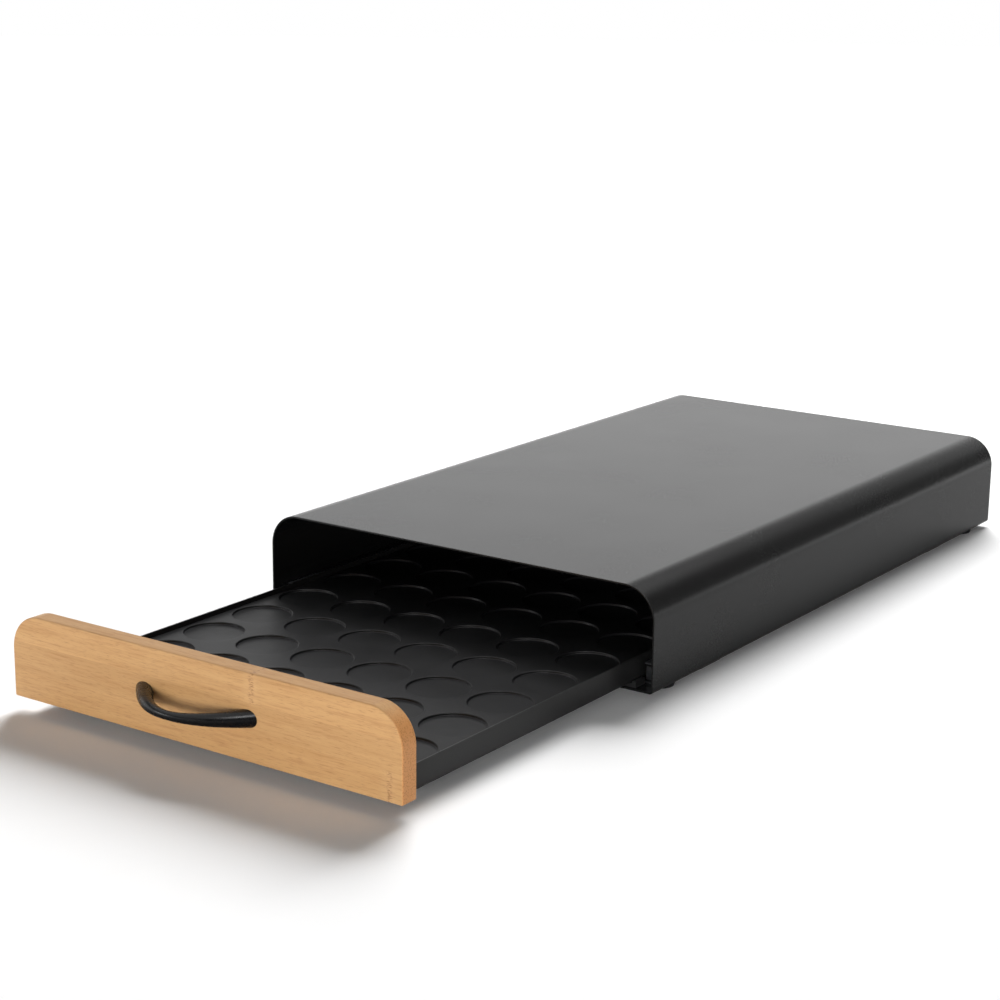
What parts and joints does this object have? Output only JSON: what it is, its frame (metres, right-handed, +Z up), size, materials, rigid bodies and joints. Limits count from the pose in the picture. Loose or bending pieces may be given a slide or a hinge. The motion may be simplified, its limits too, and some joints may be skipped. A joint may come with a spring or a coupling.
{
  "type": "coffee pod drawer",
  "caption": "Low black steel case with rounded top bends and a shallow pull-out drawer that holds coffee pods in a grid of seats behind a bamboo front with an arched handle.",
  "frame": {"origin": "on the counter, under the middle of the object's box with the drawer half open as pictured", "axes": "+X to the right as seen from the front, +Y from the handle towards the back, +Z up"},
  "size_m": [0.3, 0.773, 0.07],
  "materials": {
    "case_powder_coat": "satin black powder coat",
    "tray_powder_coat": "satin black powder coat",
    "runner_zinc": "zinc-plated steel",
    "rivet_steel": "bright steel",
    "screw_steel": "zinc-plated steel",
    "insert_plastic": "fine-grained moulded black",
    "bamboo": "clear-oiled laminated bamboo",
    "handle_enamel": "gloss black enamel",
    "glide_nylon": "natural-finish black nylon",
    "foot_rubber": "matt black"
  },
  "bodies": {
    "case": {"case_shell": "case_powder_coat", "rear_panel": "case_powder_coat", "front_strap": "case_powder_coat", "rear_strap": "case_powder_coat", "strap_rivets": "rivet_steel", "runner_rivets": "rivet_steel", "rear_panel_rivets": "rivet_steel", "rear_buffers": "foot_rubber", "left_runner": "runner_zinc", "right_runner": "runner_zinc", "left_front_glide": "glide_nylon", "right_front_glide": "glide_nylon", "front_left_foot": "foot_rubber", "front_right_foot": "foot_rubber", "rear_left_foot": "foot_rubber", "rear_right_foot": "foot_rubber"},
    "drawer": {"drawer_tray": "tray_powder_coat", "pod_insert": "insert_plastic", "bamboo_front": "bamboo", "front_screws": "screw_steel", "handle": "handle_enamel", "handle_screws": "screw_steel", "handle_washers": "screw_steel", "left_guide_block": "glide_nylon", "right_guide_block": "glide_nylon", "block_screws": "screw_steel", "block_nuts": "screw_steel"}
  },
  "joints": [
    {"name": "drawer_slide", "type": "slide", "parent": "case", "child": "drawer", "axis": [0, -1, 0], "range_m": [-0.2384, 0.203]}
  ]
}
